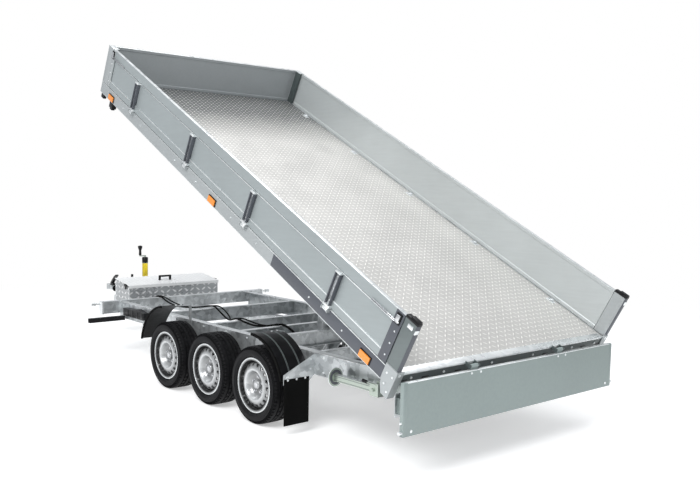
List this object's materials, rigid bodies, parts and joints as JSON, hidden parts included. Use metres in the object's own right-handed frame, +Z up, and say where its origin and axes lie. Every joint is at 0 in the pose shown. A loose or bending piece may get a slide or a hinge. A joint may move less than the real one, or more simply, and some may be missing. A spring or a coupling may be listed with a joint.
{
  "type": "three axle tipper trailer",
  "caption": "Flatbed tipper trailer with a rear hinged load bed, folding sides, hanging tailgate, lifting ram, drawbar toolbox, coupling and jockey wheel.",
  "frame": {"origin": "centre of the coupling's ball socket, on the trailer's middle plane", "axes": "+X forward to the towing vehicle, +Y to the trailer's left, +Z up"},
  "size_m": [5.8549, 2.12, 2.7559],
  "materials": {
    "galvanised": "hot dip galvanised steel with a soft spangle",
    "zinc": "zinc plated steel",
    "board_steel": "silver grey coated steel sheet",
    "grey_paint": "dark grey painted steel",
    "tread_plate": "rolled tread plate",
    "rim_steel": "silver painted steel",
    "tyre_rubber": "black tyre rubber",
    "black_plastic": "moulded black plastic",
    "black_rubber": "soft black rubber",
    "amber_lens": "moulded amber lens",
    "red_lens": "moulded red lens",
    "chrome_rod": "ground and plated rod"
  },
  "bodies": {
    "chassis": {"axles": "galvanised", "bed_locks": "zinc", "coupling_bellows": "black_rubber", "coupling_handle": "black_plastic", "coupling_head": "galvanised", "coupling_housing": "galvanised", "cross_members": "galvanised", "drawbar_arms": "galvanised", "front_beam": "galvanised", "guard_brackets": "galvanised", "jockey_clamp": "zinc", "jockey_tube": "zinc", "lamp_arms": "galvanised", "leg_mounts": "zinc", "mud_flaps": "black_rubber", "mudguards": "black_plastic", "rail_left": "galvanised", "rail_right": "galvanised", "ram_cradle": "galvanised", "rear_lamp_bar": "galvanised", "rear_lamps": "red_lens", "toolbox": "tread_plate", "wheel_chocks": "black_plastic"},
    "bed": {"bed_side_rails": "grey_paint", "bed_rear_sill": "grey_paint", "bed_front_sill": "grey_paint", "bed_beams": "galvanised", "bed_members": "galvanised", "bed_floor": "tread_plate", "headboard": "board_steel", "corner_posts": "grey_paint", "side_markers": "amber_lens"},
    "side_board_left": {"side_board_left": "board_steel", "board_fittings_left": "zinc"},
    "side_board_right": {"side_board_right": "board_steel", "board_fittings_right": "zinc"},
    "tailgate": {"tailgate": "board_steel"},
    "toolbox_lid": {"toolbox_lid": "tread_plate"},
    "leg_left": {"leg_left": "zinc"},
    "leg_right": {"leg_right": "zinc"},
    "jockey_slide": {"jockey_slide": "zinc"},
    "jockey_fork": {"jockey_fork": "zinc"},
    "jockey_wheel": {"jockey_wheel": "black_rubber"},
    "ram_barrel": {"ram_barrel": "galvanised"},
    "ram_stage_1": {"ram_stage_1": "chrome_rod"},
    "ram_stage_2": {"ram_stage_2": "chrome_rod"},
    "ram_stage_3": {"ram_stage_3": "chrome_rod"},
    "ram_rod": {"ram_rod": "chrome_rod"},
    "wheel_rear_left": {"tyre_rear_left": "tyre_rubber", "rim_rear_left": "rim_steel"},
    "wheel_rear_right": {"tyre_rear_right": "tyre_rubber", "rim_rear_right": "rim_steel"},
    "wheel_middle_left": {"tyre_middle_left": "tyre_rubber", "rim_middle_left": "rim_steel"},
    "wheel_middle_right": {"tyre_middle_right": "tyre_rubber", "rim_middle_right": "rim_steel"},
    "wheel_front_left": {"tyre_front_left": "tyre_rubber", "rim_front_left": "rim_steel"},
    "wheel_front_right": {"tyre_front_right": "tyre_rubber", "rim_front_right": "rim_steel"}
  },
  "joints": [
    {"name": "bed_tilt", "type": "hinge", "parent": "chassis", "child": "bed", "pos_m": [-5.28, 0, 0.145], "axis": [0, -1, 0], "range_deg": [-27.5, 12.5]},
    {"name": "side_board_left_fold", "type": "hinge", "parent": "bed", "child": "side_board_left", "pos_m": [-3.86251, 1.019, 1.09936], "axis": [-0.887, 0, -0.4617], "range_deg": [0, 180]},
    {"name": "side_board_right_fold", "type": "hinge", "parent": "bed", "child": "side_board_right", "pos_m": [-3.86251, -1.019, 1.09936], "axis": [0.887, 0, 0.4617], "range_deg": [0, 180]},
    {"name": "tailgate_swing", "type": "hinge", "parent": "bed", "child": "tailgate", "pos_m": [-5.69522, 0, 0.15433], "axis": [0, 1, 0], "range_deg": [-27.5, 152.5]},
    {"name": "toolbox_lid_hinge", "type": "hinge", "parent": "chassis", "child": "toolbox_lid", "pos_m": [-1.208, 0, 0.234], "axis": [0, 1, 0], "range_deg": [0, 95]},
    {"name": "leg_left_swing", "type": "hinge", "parent": "chassis", "child": "leg_left", "pos_m": [-5.31, 0.8, -0.005], "axis": [0, 1, 0], "range_deg": [0, 90]},
    {"name": "leg_right_swing", "type": "hinge", "parent": "chassis", "child": "leg_right", "pos_m": [-5.31, -0.8, -0.005], "axis": [0, 1, 0], "range_deg": [0, 90]},
    {"name": "jockey_lift", "type": "slide", "parent": "chassis", "child": "jockey_slide", "axis": [0, 0, 1], "range_m": [0, 0.08]},
    {"name": "jockey_swivel", "type": "hinge", "parent": "jockey_slide", "child": "jockey_fork", "pos_m": [-0.418, -0.232, -0.198], "axis": [0, 0, 1], "continuous": true},
    {"name": "jockey_roll", "type": "hinge", "parent": "jockey_fork", "child": "jockey_wheel", "pos_m": [-0.458, -0.232, -0.33], "axis": [0, 1, 0], "continuous": true},
    {"name": "wheel_rear_left_spin", "type": "hinge", "parent": "chassis", "child": "wheel_rear_left", "pos_m": [-4.28, 0.87, -0.1675], "axis": [0, 1, 0], "continuous": true},
    {"name": "wheel_rear_right_spin", "type": "hinge", "parent": "chassis", "child": "wheel_rear_right", "pos_m": [-4.28, -0.87, -0.1675], "axis": [0, 1, 0], "continuous": true},
    {"name": "wheel_middle_left_spin", "type": "hinge", "parent": "chassis", "child": "wheel_middle_left", "pos_m": [-3.68, 0.87, -0.1675], "axis": [0, 1, 0], "continuous": true},
    {"name": "wheel_middle_right_spin", "type": "hinge", "parent": "chassis", "child": "wheel_middle_right", "pos_m": [-3.68, -0.87, -0.1675], "axis": [0, 1, 0], "continuous": true},
    {"name": "wheel_front_left_spin", "type": "hinge", "parent": "chassis", "child": "wheel_front_left", "pos_m": [-3.08, 0.87, -0.1675], "axis": [0, 1, 0], "continuous": true},
    {"name": "wheel_front_right_spin", "type": "hinge", "parent": "chassis", "child": "wheel_front_right", "pos_m": [-3.08, -0.87, -0.1675], "axis": [0, 1, 0], "continuous": true},
    {"name": "ram_swing", "type": "hinge", "parent": "chassis", "child": "ram_barrel", "pos_m": [-3.83, 0, -0.12], "axis": [0, -1, 0], "range_deg": [-11.7, 5.38]},
    {"name": "ram_slide_1", "type": "slide", "parent": "ram_barrel", "child": "ram_stage_1", "axis": [-0.201, 0, 0.9796], "range_m": [-0.171, 0.079]},
    {"name": "ram_slide_2", "type": "slide", "parent": "ram_stage_1", "child": "ram_stage_2", "axis": [-0.201, 0, 0.9796], "range_m": [-0.171, 0.079]},
    {"name": "ram_slide_3", "type": "slide", "parent": "ram_stage_2", "child": "ram_stage_3", "axis": [-0.201, 0, 0.9796], "range_m": [-0.171, 0.079]},
    {"name": "ram_slide_4", "type": "slide", "parent": "ram_stage_3", "child": "ram_rod", "axis": [-0.201, 0, 0.9796], "range_m": [-0.171, 0.079]}
  ],
  "couplings": [
    {"joint": "ram_swing", "follows": "bed_tilt", "ratio": 0.4218},
    {"joint": "ram_slide_1", "follows": "bed_tilt", "m_per_rad": 0.35397},
    {"joint": "ram_slide_2", "follows": "bed_tilt", "m_per_rad": 0.35397},
    {"joint": "ram_slide_3", "follows": "bed_tilt", "m_per_rad": 0.35397},
    {"joint": "ram_slide_4", "follows": "bed_tilt", "m_per_rad": 0.35397}
  ]
}
